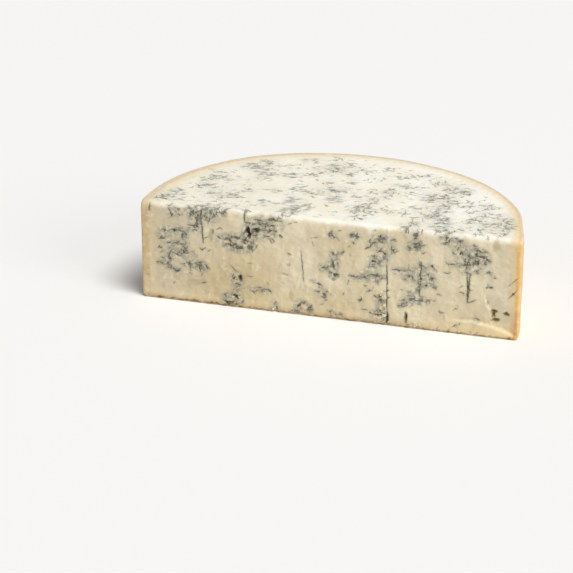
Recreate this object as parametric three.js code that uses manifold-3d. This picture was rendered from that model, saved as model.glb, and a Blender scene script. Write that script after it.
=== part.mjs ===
// Half a wheel of soft blue cheese, lying on its flat underside.
//
// A drum-shaped wheel was first cut level through its middle, and the lower drum was then
// cut upright through its axis. So the piece is a half disc with two cut faces: the level
// top and the upright front. The round back wall and the underside are rind, and the rim
// of the underside is rounded, as a moulded wheel's is.
// The front shows the channels that long needles pierced for the blue mould, cut open
// along their length, a few pockets where the mould grew, and small pits.
//
// Millimetres, +Z up, front towards -Y, origin under the middle of the bounding box.

import * as THREE from "three";
import { mergeVertices } from "three/addons/utils/BufferGeometryUtils.js";
import { ImprovedNoise } from "three/addons/math/ImprovedNoise.js";
import Module from "manifold-3d";

// Driving dimensions of the half wheel
const WHEEL_RADIUS = 151.5;
const SLAB_HEIGHT = 82;
const FRONT_Y = -WHEEL_RADIUS / 2;

// How far each edge is rounded over
const TOP_FRONT_EDGE = 5;
const TOP_RIM_EDGE = 1.6;
const BOTTOM_FRONT_EDGE = 1.4;
const BOTTOM_RIM_EDGE = 8;
const UPRIGHT_CORNER = 2;

// Where the wheel's side bulges or sinks: at which angle from the right end of the cut,
// over how many degrees each way, and how far out
const UNEVEN_SIDES = [
  { angle: 13, spread: 11, out: -1.6 },
  { angle: 106, spread: 30, out: 1.3 },
  { angle: 138, spread: 46, out: 5.6 },
];

// How deep the cut faces and the rind sink in between their swells, how long a swell is,
// and where in the random swells each face starts
const FRONT_SWELLS = { depth: 1.1, length: 34, start: 3.7 };
const TOP_SWELLS = { depth: 0.9, length: 42, start: 8.1 };
const RIND_SWELLS = { depth: 0.7, length: 26, start: 12.9 };
const FLAT_ABOVE_FLOOR = 10;
const SWELL_CONTRAST = 0.8;

// Points less far in than this belong to the cut front.
const CUT_FRONT_THICKNESS = 1;

// A low step along the lower right of the front, left where the knife dragged: where it
// starts and ends, how high it runs there, its depth, and how it fades in and out
const STEP_START = { x: 100, z: 12 };
const STEP_END = { x: 147, z: 4.5 };
const STEP_DEPTH = 0.9;
const STEP_FADE = { along: 14, below: 3, above: 24 };

// How finely the surface is divided
const COLUMNS = 64;
const WALL_ROWS = 13;
const EDGE_ROWS = 3;
const TOP_STEP = 9;
const UNDERSIDE_STEP = 60;
const CHANNEL_SIDES = 7;
const CHANNEL_STEPS = 5;

// How far in from a corner the edge roundings of the front and the back blend
const CORNER_BLEND_FRONT = 12;
const CORNER_BLEND_BACK = 1 / 14;

// Points closer together than this are one point.
const SAME_POINT = 0.001;

// A smooth hump, 1 at the centre and 0 from half its width outwards
function hump(value, centre, halfWidth) {
  const away = Math.abs(value - centre) / halfWidth;
  return away < 1 ? Math.cos((away * Math.PI) / 2) ** 2 : 0;
}

const smooth = (t) => THREE.MathUtils.smoothstep(t, 0, 1);

// The wheel isn't quite round: its left side sags outwards, as soft cheese does.
function wheelRadius(angle) {
  const degrees = THREE.MathUtils.radToDeg(angle);
  return UNEVEN_SIDES.reduce(
    (radius, side) => radius + side.out * hump(degrees, side.angle, side.spread),
    WHEEL_RADIUS,
  );
}

// One point of the half disc's outline, with the way it faces and its edge roundings
function outlinePoint(x, y, facing, roundBack) {
  return {
    x,
    y,
    facing,
    topEdge: THREE.MathUtils.lerp(TOP_FRONT_EDGE, TOP_RIM_EDGE, roundBack),
    bottomEdge: THREE.MathUtils.lerp(BOTTOM_FRONT_EDGE, BOTTOM_RIM_EDGE, roundBack),
  };
}

// The outline has as many points along the straight front as round the back, so each
// point of the front has a partner across the disc.
function halfDiscOutline() {
  const half = WHEEL_RADIUS - UPRIGHT_CORNER;
  const startAngle = Math.asin(UPRIGHT_CORNER / WHEEL_RADIUS);
  const front = [];
  const back = [];
  for (let i = 0; i <= COLUMNS; i++) {
    const share = i / COLUMNS;
    const x = THREE.MathUtils.lerp(-half, half, share);
    const nearCorner = smooth(1 - (half - Math.abs(x)) / CORNER_BLEND_FRONT) / 2;
    front.push(outlinePoint(x, 0, new THREE.Vector2(0, -1), nearCorner));
    const angle = THREE.MathUtils.lerp(Math.PI - startAngle, startAngle, share);
    const radius = wheelRadius(angle);
    const way = new THREE.Vector2(Math.cos(angle), Math.sin(angle));
    const fromCorner = smooth(Math.min(share, 1 - share) / CORNER_BLEND_BACK);
    back.push(outlinePoint(radius * way.x, radius * way.y, way, 0.5 + fromCorner / 2));
  }
  return { front, back };
}

// Heights and insets from the underside to the top, the same for every outline point
function levels(point) {
  const rows = [];
  for (let i = 0; i <= EDGE_ROWS; i++) {
    const turn = (i / EDGE_ROWS) * (Math.PI / 2);
    rows.push({
      inset: point.bottomEdge * (1 - Math.sin(turn)),
      z: point.bottomEdge * (1 - Math.cos(turn)),
      up: -Math.cos(turn),
    });
  }
  const wallLow = point.bottomEdge;
  const wallHigh = SLAB_HEIGHT - point.topEdge;
  for (let i = 1; i < WALL_ROWS; i++) {
    rows.push({ inset: 0, z: THREE.MathUtils.lerp(wallLow, wallHigh, i / WALL_ROWS), up: 0 });
  }
  for (let i = 0; i <= EDGE_ROWS; i++) {
    const turn = (i / EDGE_ROWS) * (Math.PI / 2);
    rows.push({
      inset: point.topEdge * (1 - Math.cos(turn)),
      z: SLAB_HEIGHT - point.topEdge * (1 - Math.sin(turn)),
      up: Math.sin(turn),
    });
  }
  return rows;
}

// The corner of one row: where the outline point is at that height, and the way it faces
function wallCorner(point, row) {
  const level = Math.sqrt(1 - row.up ** 2);
  return {
    place: new THREE.Vector3(
      point.x - point.facing.x * row.inset,
      point.y - point.facing.y * row.inset,
      row.z,
    ),
    facing: new THREE.Vector3(point.facing.x * level, point.facing.y * level, row.up),
  };
}

const perlin = new ImprovedNoise();

// A random sinking from 0 to the depth of the swells
function sinkBetween(place, { depth, length, start }) {
  const value = perlin.noise(place.x / length + start, place.y / length, place.z / length);
  return depth * THREE.MathUtils.clamp(0.5 + value * SWELL_CONTRAST, 0, 1);
}

function lowStep({ x, z }) {
  const above = z - THREE.MathUtils.mapLinear(x, STEP_START.x, STEP_END.x, STEP_START.z, STEP_END.z);
  const along = smooth((x - STEP_START.x) / STEP_FADE.along + 0.5);
  const across = smooth(above / STEP_FADE.below) * smooth(1 - above / STEP_FADE.above);
  return above > 0 ? STEP_DEPTH * along * across : 0;
}

// How far the surface sinks in at a place. The underside stays flat.
function dent(place, facing) {
  const cutFront = place.y < CUT_FRONT_THICKNESS ? Math.max(0, -facing.y) ** 2 : 0;
  const cutTop = Math.max(0, facing.z) ** 2;
  const rind = 1 - Math.max(cutFront, cutTop);
  const fromCorner = smooth(place.y / (2 * FLAT_ABOVE_FLOOR));
  return (
    smooth(place.z / FLAT_ABOVE_FLOOR) *
    (cutFront * (sinkBetween(place, FRONT_SWELLS) + lowStep(place)) +
      cutTop * sinkBetween(place, TOP_SWELLS) +
      rind * fromCorner * sinkBetween(place, RIND_SWELLS))
  );
}

// The surface is gathered as points and triangles.
const points = [];
const triangles = [];

function addPoint({ place, facing }) {
  const sunk = place.clone().addScaledVector(facing, -dent(place, facing));
  points.push(sunk.x, sunk.y + FRONT_Y, sunk.z);
  return points.length / 3 - 1;
}

// Triangles between two lines of points that may have different numbers of points
function zip(left, right) {
  let i = 0;
  let j = 0;
  while (i < left.length - 1 || j < right.length - 1) {
    const nextLeft = i < left.length - 1 ? (i + 1) / (left.length - 1) : Infinity;
    const nextRight = j < right.length - 1 ? (j + 1) / (right.length - 1) : Infinity;
    if (nextLeft <= nextRight) {
      triangles.push(left[i], right[j], left[i + 1]);
      i += 1;
    } else {
      triangles.push(left[i], right[j], right[j + 1]);
      j += 1;
    }
  }
}

// A level face: each line of points runs from a front point to its partner at the back.
function levelFace(frontRow, backRow, step, facing) {
  const lines = frontRow.map((start, i) => {
    const from = new THREE.Vector3().fromArray(points, start * 3);
    const to = new THREE.Vector3().fromArray(points, backRow[i] * 3);
    const atEnd = i === 0 || i === frontRow.length - 1;
    const parts = atEnd ? 1 : Math.max(1, Math.round(from.distanceTo(to) / step));
    const line = [start];
    for (let k = 1; k < parts; k++) {
      const place = from.clone().lerp(to, k / parts);
      place.y -= FRONT_Y;
      place.z = facing.z > 0 ? SLAB_HEIGHT : 0;
      line.push(addPoint({ place, facing }));
    }
    return [...line, backRow[i]];
  });
  for (let i = 0; i < COLUMNS; i++) {
    if (facing.z > 0) zip(lines[i], lines[i + 1]);
    else zip(lines[i + 1], lines[i]);
  }
}

function cheeseSurface() {
  const { front, back } = halfDiscOutline();
  const wall = (row) => row.map((point) => levels(point).map((r) => addPoint(wallCorner(point, r))));
  const frontWall = wall(front);
  const backWall = wall(back);
  for (let i = 0; i < COLUMNS; i++) {
    zip(frontWall[i], frontWall[i + 1]);
    zip(backWall[i + 1], backWall[i]);
  }
  zip(backWall[0], frontWall[0]);
  zip(frontWall[COLUMNS], backWall[COLUMNS]);
  const bottomOf = (column) => column[0];
  const topOf = (column) => column[column.length - 1];
  const up = new THREE.Vector3(0, 0, 1);
  levelFace(frontWall.map(topOf), backWall.map(topOf), TOP_STEP, up);
  levelFace(frontWall.map(bottomOf), backWall.map(bottomOf), UNDERSIDE_STEP, up.clone().negate());
  return new THREE.BufferGeometry()
    .setAttribute("position", new THREE.Float32BufferAttribute(points, 3))
    .setIndex(triangles);
}

const wasm = await Module();
wasm.setup();

function solid(geometry) {
  const bare = geometry.index ? geometry.toNonIndexed() : geometry.clone();
  bare.deleteAttribute("normal");
  bare.deleteAttribute("uv");
  const merged = mergeVertices(bare, SAME_POINT);
  return new wasm.Manifold(
    new wasm.Mesh({
      numProp: 3,
      vertProperties: new Float32Array(merged.attributes.position.array),
      triVerts: new Uint32Array(merged.index.array),
    }),
  );
}

// A needle channel that the front cut opened, from a low to a high point of the front. Its
// middle line lies behind the cut by this share of its radius.
const CHANNEL_SUNK = 0.35;

function channelCutter({ low, high, radius, bow = 0 }) {
  const depth = FRONT_Y + radius * CHANNEL_SUNK;
  const [lowX, lowZ] = low;
  const [highX, highZ] = high;
  const path = new THREE.CatmullRomCurve3([
    new THREE.Vector3(lowX, depth, lowZ),
    new THREE.Vector3((lowX + highX) / 2 + bow, depth, (lowZ + highZ) / 2),
    new THREE.Vector3(highX, depth, highZ),
  ]);
  const corner = (i) => {
    const turn = (i / CHANNEL_SIDES) * Math.PI * 2;
    return new THREE.Vector2(Math.cos(turn), Math.sin(turn)).multiplyScalar(radius);
  };
  const section = new THREE.Shape(Array.from({ length: CHANNEL_SIDES }, (_, i) => corner(i)));
  const along = { extrudePath: path, steps: CHANNEL_STEPS };
  return solid(new THREE.ExtrudeGeometry(section, along));
}

// An uneven lump, the space that a pocket or a pit leaves
const LUMP_ROUGHNESS = 0.35;
const LUMP_DETAIL = 1.7;

function lump({ at, size, turn, seed }) {
  const shape = new THREE.IcosahedronGeometry(1, 1);
  const place = shape.getAttribute("position");
  const point = new THREE.Vector3();
  for (let i = 0; i < place.count; i++) {
    point.fromBufferAttribute(place, i).normalize();
    const sample = point.clone().multiplyScalar(LUMP_DETAIL).addScalar(seed);
    point.multiplyScalar(1 + LUMP_ROUGHNESS * perlin.noise(sample.x, sample.y, sample.z));
    place.setXYZ(i, point.x, point.y, point.z);
  }
  shape.scale(...size);
  shape.rotateY(THREE.MathUtils.degToRad(turn));
  const [x, inward, z] = at;
  shape.translate(x, FRONT_Y + inward, z);
  return solid(shape);
}

// Where the needles went in: places across the front and above the underside
const channels = [
  { low: [-100, 49], high: [-101.5, 84], radius: 1.1, bow: -0.4 },
  { low: [-65.6, 71], high: [-66.8, 84], radius: 0.9 },
  { low: [-18.4, 28], high: [-20.8, 53], radius: 0.7, bow: 0.3 },
  { low: [49, -2], high: [47.6, 58], radius: 1.1, bow: 0.2 },
  { low: [74, 27], high: [74, 56], radius: 1.3, bow: -0.3 },
  { low: [111.6, 26], high: [111.4, 51], radius: 1.7 },
];

// Pockets and pits: place as [across, inward, up], and half sizes
const hollows = [
  { at: [-63.6, 0, 63], size: [2.3, 5, 5], turn: -10, seed: 1 },
  { at: [-56.5, 0, 67], size: [3.4, 2.2, 3], turn: 30, seed: 2 },
  { at: [-67.5, 0, 58], size: [5, 2, 1.8], turn: 12, seed: 3 },
  { at: [-70, 0, 24.5], size: [2.4, 2.8, 4], turn: 20, seed: 4 },
  { at: [-73.5, 0, 10], size: [2.6, 2, 3.6], turn: -15, seed: 5 },
  { at: [-78, 0, 1.5], size: [4.5, 2, 2.4], turn: 0, seed: 6 },
  { at: [-32, 0, 32.3], size: [4, 1.4, 1.3], turn: 12, seed: 7 },
  { at: [41.5, 0, 20.5], size: [2, 1.8, 3.6], turn: 24, seed: 8 },
  { at: [44.5, 0, 6], size: [3, 2.6, 5.4], turn: -12, seed: 9 },
  { at: [64, 0, 8.2], size: [1.4, 2.4, 3.8], turn: 4, seed: 10 },
  { at: [120, 0, 64], size: [5.4, 1.4, 2.6], turn: -28, seed: 11 },
  { at: [131.4, 0, 20.4], size: [1.9, 2.8, 2.2], turn: 0, seed: 12 },
  { at: [133.2, 0, 15.4], size: [2.6, 2, 2.4], turn: 20, seed: 13 },
  { at: [141.6, 0, 21.2], size: [2.4, 2, 1.9], turn: -24, seed: 14 },
];

let cheese = solid(cheeseSurface());
for (const channel of channels) cheese = cheese.subtract(channelCutter(channel));
for (const hollow of hollows) cheese = cheese.subtract(lump(hollow));

function geometryOf(made) {
  const mesh = made.getMesh();
  return new THREE.BufferGeometry()
    .setAttribute("position", new THREE.BufferAttribute(mesh.vertProperties, mesh.numProp))
    .setIndex(new THREE.BufferAttribute(mesh.triVerts, 1));
}

const halfWheel = new THREE.Mesh(
  geometryOf(cheese),
  new THREE.MeshStandardMaterial({ color: 0xe4dabd, roughness: 0.5, metalness: 0 }),
);
halfWheel.name = "cheese_half_wheel";

const part = new THREE.Group();
part.add(halfWheel);

export default part;
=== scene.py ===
# %% [markdown]
# Half a wheel of soft blue cheese
#
# The piece is a drum of cheese that was cut twice: once level through its middle, and once
# upright through its axis. Its top and its front are cut paste, cream-coloured and marbled
# with blue-grey mould, and its round back and its underside are a thin, moist rind. The
# frame comes from the CAD model, so everything below is made in its place and size.

# %% Load the frame
import math

import bpy
import numpy as np
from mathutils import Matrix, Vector, noise


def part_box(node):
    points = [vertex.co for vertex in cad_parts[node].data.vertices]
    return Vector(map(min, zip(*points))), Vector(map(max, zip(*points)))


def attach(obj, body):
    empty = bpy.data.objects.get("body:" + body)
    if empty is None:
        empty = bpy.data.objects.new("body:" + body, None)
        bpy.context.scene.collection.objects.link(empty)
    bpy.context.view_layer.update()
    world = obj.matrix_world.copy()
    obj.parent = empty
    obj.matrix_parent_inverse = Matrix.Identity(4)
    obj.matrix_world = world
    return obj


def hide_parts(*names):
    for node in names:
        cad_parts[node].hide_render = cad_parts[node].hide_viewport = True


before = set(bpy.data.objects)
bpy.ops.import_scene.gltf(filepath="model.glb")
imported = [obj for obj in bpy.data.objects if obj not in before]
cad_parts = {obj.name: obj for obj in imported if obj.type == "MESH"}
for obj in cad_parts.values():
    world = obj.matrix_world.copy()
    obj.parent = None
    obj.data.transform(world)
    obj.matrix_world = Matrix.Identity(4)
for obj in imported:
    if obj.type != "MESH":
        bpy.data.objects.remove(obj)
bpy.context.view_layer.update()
NODE = "cheese_half_wheel"
low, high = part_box(NODE)
print("CAD box in mm:", [round(1000 * side, 1) for side in high - low])

# %% [markdown]
# The photograph's view
#
# A camera can be placed by eye, or worked out from the straight edges and the round rim
# that it sees. These values were worked out: a long lens, a little to the right of the
# front and about 23 degrees up, so that the top and the front both show.

# %% Camera
AZIMUTH, ELEVATION = math.radians(16.4), math.radians(23.45)
LOOK_AT = Vector((-0.0491, -0.01765, -0.0033))
DISTANCE = 1.688
LENS = 130.9

towards_camera = Vector(
    (
        math.sin(AZIMUTH) * math.cos(ELEVATION),
        -math.cos(AZIMUTH) * math.cos(ELEVATION),
        math.sin(ELEVATION),
    )
)
camera = bpy.data.objects.new("camera", bpy.data.cameras.new("camera"))
bpy.context.scene.collection.objects.link(camera)
camera.location = LOOK_AT + towards_camera * DISTANCE
camera.rotation_euler = (-towards_camera).to_track_quat("-Z", "Y").to_euler()
camera.data.lens = LENS
camera.data.sensor_width = 36
bpy.context.scene.camera = camera
print("camera at", [round(c, 3) for c in camera.location])

# %% [markdown]
# Material sums
#
# A material is a net of nodes, and long nets are hard to read. This small class wraps one
# socket of the net, so that a sum on sockets is written as a sum and adds its own nodes.

# %% A class for shader sums


class Value:
    """A number that changes over the surface, and the material it belongs to."""

    def __init__(self, finish, socket):
        self.finish = finish
        self.socket = socket

    def math(self, operation, *others):
        values = {0: self, **{i + 1: other for i, other in enumerate(others)}}
        return self.finish.node("ShaderNodeMath", {"operation": operation}, values)

    def __add__(self, other):
        return self.math("ADD", other)

    __radd__ = __add__

    def __sub__(self, other):
        return self.math("SUBTRACT", other)

    def __rsub__(self, other):
        return (self * -1.0) + other

    def __mul__(self, other):
        return self.math("MULTIPLY", other)

    __rmul__ = __mul__

    def __abs__(self):
        return self.math("ABSOLUTE")

    def least(self, other):
        return self.math("MINIMUM", other)


class Net:
    """A node tree under construction."""

    def __init__(self, tree):
        self.tree = tree

    def feed(self, socket, value):
        if isinstance(value, Value):
            self.tree.links.new(value.socket, socket)
        else:
            socket.default_value = value

    def node(self, kind, settings=None, values=None, output=0):
        made = self.tree.nodes.new(kind)
        for key, value in (settings or {}).items():
            setattr(made, key, value)
        for key, value in (values or {}).items():
            self.feed(made.inputs[key], value)
        return Value(self, made.outputs[output])


class Finish(Net):
    """A material under construction, and the ways to add to it."""

    def __init__(self, name):
        self.material = bpy.data.materials.new(name)
        self.material.use_nodes = True
        super().__init__(self.material.node_tree)
        self.shader = self.tree.nodes["Principled BSDF"]

    def attribute(self, name):
        return self.node("ShaderNodeAttribute", {"attribute_name": name}, output="Fac")

    def places(self, stretch=(1, 1, 1)):
        """Where a point lies on the object, in millimetres, with each axis stretched."""
        point = self.node("ShaderNodeTexCoord", output="Object")
        per_mm = tuple(1000 / s for s in stretch)
        return self.node("ShaderNodeVectorMath", {"operation": "MULTIPLY"}, {0: point, 1: per_mm})

    def clouds(self, where, size, detail=2, rough=0.5, bend=0.0):
        """Soft random clouds from 0 to 1, each about as big as size in millimetres."""
        values = {"Vector": where, "Scale": 1 / size, "Detail": detail}
        values.update({"Roughness": rough, "Distortion": bend})
        return self.node("ShaderNodeTexNoise", {}, values)

    def ramp(self, value, start, end):
        """0 before start, 1 after end, and a smooth rise between them."""
        values = {"Value": value, "From Min": start, "From Max": end}
        return self.node("ShaderNodeMapRange", {"interpolation_type": "SMOOTHSTEP"}, values)

    def mix(self, first, second, share):
        """A blend of two colours."""
        settings = {"data_type": "RGBA"}
        return self.node("ShaderNodeMix", settings, {0: share, 6: first, 7: second}, output=2)

    def set(self, **values):
        """Values of the shader's own sockets, by their names with _ for a space."""
        for name, value in values.items():
            self.feed(self.shader.inputs[name.replace("_", " ")], value)


def colour(red, green, blue):
    """A colour as a screen shows it, from 0 to 255, as the light values Blender works in."""
    shown = np.array((red, green, blue)) / 255
    linear = np.where(shown < 0.04045, shown / 12.92, ((shown + 0.055) / 1.055) ** 2.4)
    return (*(float(c) for c in linear), 1.0)


print("cream on screen is", [round(c, 2) for c in colour(240, 234, 220)[:3]], "as light")

# %% [markdown]
# Floor and light
#
# Food is lit softly from above, so that a pale thing keeps its shape without hard
# shadows. A wide lamp above and to the right makes the top the brightest side, a weak, low
# one on the right lights the front and the golden right end, and the pale surroundings fill
# in the rest.

# %% Floor, lamps and surroundings
FLOOR_SIZE = 12.0


def make_floor():
    mesh = bpy.data.meshes.new("floor")
    half = FLOOR_SIZE / 2
    corners = [(-half, -half, 0), (half, -half, 0), (half, half, 0), (-half, half, 0)]
    mesh.from_pydata(corners, [], [(0, 1, 2, 3)])
    floor = bpy.data.objects.new("floor", mesh)
    bpy.context.scene.collection.objects.link(floor)
    finish = Finish("pale_floor")
    finish.set(Base_Color=colour(240, 239, 237), Roughness=0.7)
    mesh.materials.append(finish.material)
    return floor


def make_lamp(name, towards, strength, softness):
    """A lamp far away in one direction, as soft as the angle it fills, in degrees."""
    data = bpy.data.lights.new(name, "SUN")
    data.energy, data.angle = strength, math.radians(softness)
    lamp = bpy.data.objects.new(name, data)
    lamp.rotation_euler = Vector(towards).to_track_quat("Z", "Y").to_euler()
    bpy.context.scene.collection.objects.link(lamp)


make_floor()
make_lamp("wide_soft_lamp", towards=(0.42, -0.25, 1.0), strength=2.5, softness=28)
make_lamp("low_right_lamp", towards=(1.0, -0.45, 0.5), strength=0.6, softness=30)
world = bpy.data.worlds.new("pale_surroundings")
world.use_nodes = True
world.node_tree.nodes["Background"].inputs["Color"].default_value = (1, 1, 1, 1)
world.node_tree.nodes["Background"].inputs["Strength"].default_value = 0.3
bpy.context.scene.world = world
bpy.context.scene.view_settings.view_transform = "Standard"
print("lamps:", [o.name for o in bpy.data.objects if o.type == "LIGHT"])

# %% [markdown]
# The shape of the piece
#
# A half disc with rounded edges could be a primitive with a bevel, but a real wheel isn't
# quite round and each of its edges is rounded by a different amount. So the outline is
# worked out point by point, each point gets a profile from the underside to the top, and
# lines across the disc close the two level faces. All of it is in millimetres, with the
# wheel's axis at x = 0, y = 0 and the front cut along y = 0.

# %% Outline of the half disc
RADIUS, HEIGHT = 151.5, 82.0
FRONT_Y = -RADIUS / 2
COLUMNS = 370
CORNER = 2.0
CORNER_STEPS = 3
UNEVEN_SIDES = ((13, 11, -1.6), (106, 30, 1.3), (138, 46, 5.6))


def hump(values, centre, spread):
    """1 at the centre and 0 from the spread outwards."""
    away = np.clip(np.abs(values - centre) / spread, 0, 1)
    return np.cos(away * math.pi / 2) ** 2


def wheel_radius(angle):
    """The wheel isn't quite round: its left side sags outwards."""
    radius = np.full_like(angle, RADIUS)
    for centre, spread, out in UNEVEN_SIDES:
        radius += out * hump(np.degrees(angle), centre, spread)
    return radius


def smooth(values):
    t = np.clip(values, 0, 1)
    return t * t * (3 - 2 * t)


def front_chain():
    """Points of the front from its left corner to its right one, with the way they face."""
    turn = np.linspace(225, 270, CORNER_STEPS + 1)[:-1] * math.pi / 180
    end = RADIUS - CORNER
    left = np.column_stack(
        (-end + CORNER * np.cos(turn), CORNER + CORNER * np.sin(turn), np.cos(turn), np.sin(turn))
    )
    x = np.linspace(-end, end, COLUMNS + 1)
    straight = np.column_stack((x, 0 * x, 0 * x, 0 * x - 1))
    right = left[::-1] * (-1, 1, -1, 1)
    return np.vstack((left, straight, right))


def back_chain():
    """The same number of points round the back, in pairs with the front's."""
    turn = np.linspace(225, 180, CORNER_STEPS + 1)[:-1] * math.pi / 180
    end = RADIUS - CORNER
    left = np.column_stack(
        (-end + CORNER * np.cos(turn), CORNER + CORNER * np.sin(turn), np.cos(turn), np.sin(turn))
    )
    start = math.asin(CORNER / RADIUS)
    angle = np.linspace(math.pi - start, start, COLUMNS + 1)
    radius = wheel_radius(angle)
    round_back = np.column_stack(
        (radius * np.cos(angle), radius * np.sin(angle), np.cos(angle), np.sin(angle))
    )
    right = left[::-1] * (-1, 1, -1, 1)
    return np.vstack((left, round_back, right))


front, back = front_chain(), back_chain()
print(len(front) + len(back) - 2, "points round the outline")

# %% [markdown]
# Edges
#
# The knife leaves the rim of the cut top sharp, while the straight front edge is soft paste
# that has rounded over under its own weight, more in some places than in others. Its lower
# edge is torn in a few places, where the paste stuck to what it was cut on. The rim of the
# underside was rounded by the mould the wheel was made in. A bevel has one width, so each
# rounding is worked out instead: it moves the points of the plain half disc in.

# %% Profiles from the underside to the top
TOP_FRONT_EDGE, TOP_RIM_EDGE = 4.6, 1.6
BOTTOM_FRONT_EDGE, BOTTOM_CORNER_EDGE, BOTTOM_RIM_EDGE = 1.5, 4.5, 8.0
FRONT_EDGE_REACH, RIM_EDGE_REACH, CORNER_REACH = 14.0, 24.0, 30.0
FRONT_ROWS, BACK_ROWS = (6, 90, 7), (6, 18, 3)
TORN_PLACES = ((-41, 4, 2.0), (-21, 6, 1.6), (2, 5, 1.4), (29, 5, 1.4), (44, 7, 1.8), (140, 5, 1.0))


def wander(values, length, start):
    """A smooth random swing from -1 to 1 along a line, about as long as length."""
    return np.array([2 * noise.noise(Vector((v / length, start, 0))) for v in values])


def front_edges(x):
    """How far the top and the bottom edge of the front are rounded along the front."""
    top = TOP_FRONT_EDGE * (1 + 0.35 * wander(x, 16, 3.1))
    bottom = BOTTOM_FRONT_EDGE * (1 + 0.5 * wander(x, 5, 9.4))
    for centre, half, size in TORN_PLACES:
        bottom += size * hump(x, centre, half)
    return top, bottom


def rim_edge(y):
    """How far the rim of the underside is rounded: less near the front corners."""
    return BOTTOM_CORNER_EDGE + (BOTTOM_RIM_EDGE - BOTTOM_CORNER_EDGE) * smooth(y / CORNER_REACH)


def stand_back(height, edge):
    """How far a rounded edge stands back at a height above its foot."""
    left = np.clip(1 - height / edge, 0, 1)
    return edge * (1 - np.sqrt(1 - left * left))


def round_edges(chain, height, top, bottom):
    """Moves points of the plain half disc in where its edges are rounded. The move fades
    away inwards, so that no point overtakes another at the corners."""
    x, y = chain[:, 0], chain[:, 1]
    drawn = stand_back(HEIGHT - height, top) + stand_back(height, bottom)
    y = y + drawn * smooth(1 - y / FRONT_EDGE_REACH)
    out = np.hypot(x, y)
    drawn = stand_back(HEIGHT - height, TOP_RIM_EDGE) + stand_back(height, rim_edge(y))
    share = 1 - drawn * smooth(1 - (RADIUS - out) / RIM_EDGE_REACH) / np.maximum(out, 1)
    return np.column_stack((x * share, y * share, height))


def wall(chain, rows):
    """Rows of points from the underside to the top, and the way each point faces."""
    top_front, bottom_front = front_edges(chain[:, 0])
    to_back = smooth((chain[:, 1] - 0.3) / 9)
    top_edge = top_front + (TOP_RIM_EDGE - top_front) * to_back
    bottom_edge = bottom_front if rows is FRONT_ROWS else rim_edge(chain[:, 1])
    bottom_rows, wall_rows, top_rows = rows
    steps = []
    for turn in np.linspace(0, math.pi / 2, bottom_rows + 1):
        steps.append((bottom_edge * (1 - math.cos(turn)), -math.cos(turn)))
    lowest, highest = bottom_edge, HEIGHT - top_edge
    for share in np.linspace(0, 1, wall_rows + 1)[1:-1]:
        steps.append((lowest + (highest - lowest) * share, 0.0))
    for turn in np.linspace(0, math.pi / 2, top_rows + 1):
        steps.append((HEIGHT - top_edge * (1 - math.sin(turn)), math.sin(turn)))
    places, facings = [], []
    for height, up in steps:
        level = math.sqrt(max(0, 1 - up * up))
        places.append(round_edges(chain, height, top_front, bottom_front))
        facings.append(np.column_stack((chain[:, 2:] * level, 0 * height + up)))
    return np.array(places), np.array(facings)


front_wall, front_facing = wall(front, FRONT_ROWS)
back_wall, back_facing = wall(back[1:-1], BACK_ROWS)
print("front wall", front_wall.shape[:2], "back wall", back_wall.shape[:2])

# %% [markdown]
# Joining the walls and the level faces
#
# The front needs fine rows for its marbling and the round back doesn't, so they have
# different numbers of rows. Across the level faces each line runs from a point of the front
# to its partner at the back, and these lines differ in length. A zip of triangles, which
# always steps on along the line that lags behind, joins any two such lines.

# %% Zip the walls and the level faces
TOP_STEP, UNDERSIDE_STEP = 1.2, 6.0

skin_places = [front_wall.reshape(-1, 3), back_wall.reshape(-1, 3)]
skin_facings = [front_facing.reshape(-1, 3), back_facing.reshape(-1, 3)]
front_ids = np.arange(front_wall.size // 3).reshape(front_wall.shape[:2])
back_ids = front_ids.size + np.arange(back_wall.size // 3).reshape(back_wall.shape[:2])
faces = []


def shares_along(line):
    """How far along a line each of its points lies, from 0 to 1."""
    if len(line) < 2:
        return np.zeros(len(line))
    lengths = np.linalg.norm(np.diff(line, axis=0), axis=1)
    return np.concatenate(((0,), np.cumsum(lengths))) / lengths.sum()


def zip_lines(left, right):
    """Triangles between two lines, each given as its points' numbers and their places."""
    (left_ids, left_line), (right_ids, right_line) = left, right
    left_at, right_at = shares_along(left_line), shares_along(right_line)
    i = j = 0
    while i < len(left_ids) - 1 or j < len(right_ids) - 1:
        left_next = left_at[i + 1] if i < len(left_ids) - 1 else 2
        right_next = right_at[j + 1] if j < len(right_ids) - 1 else 2
        if left_next <= right_next:
            faces.append((left_ids[i], right_ids[j], left_ids[i + 1]))
            i += 1
        else:
            faces.append((left_ids[i], right_ids[j], right_ids[j + 1]))
            j += 1


def level_face(row, step, upwards):
    """Lines of points across the disc from a row of the front to a row of the back."""
    free = sum(len(places) for places in skin_places)
    lines = []
    for k in range(len(front)):
        near_id, near_place = front_ids[row, k], front_wall[row, k]
        if k in (0, len(front) - 1):
            lines.append(([near_id], near_place[None]))
            continue
        far_id, far_place = back_ids[row, k - 1], back_wall[row, k - 1]
        parts = max(1, round(float(np.linalg.norm(far_place - near_place)) / step))
        shares = np.linspace(0, 1, parts + 1)[1:-1, None]
        inner = near_place + (far_place - near_place) * shares
        inner[:, 2] = HEIGHT if upwards else 0.0
        ids = [near_id, *range(free, free + len(inner)), far_id]
        lines.append((ids, np.vstack((near_place, inner, far_place))))
        free += len(inner)
        skin_places.append(inner)
        skin_facings.append(np.tile((0.0, 0.0, 1.0 if upwards else -1.0), (len(inner), 1)))
    for left, right in zip(lines, lines[1:]):
        zip_lines(*((left, right) if upwards else (right, left)))


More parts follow.
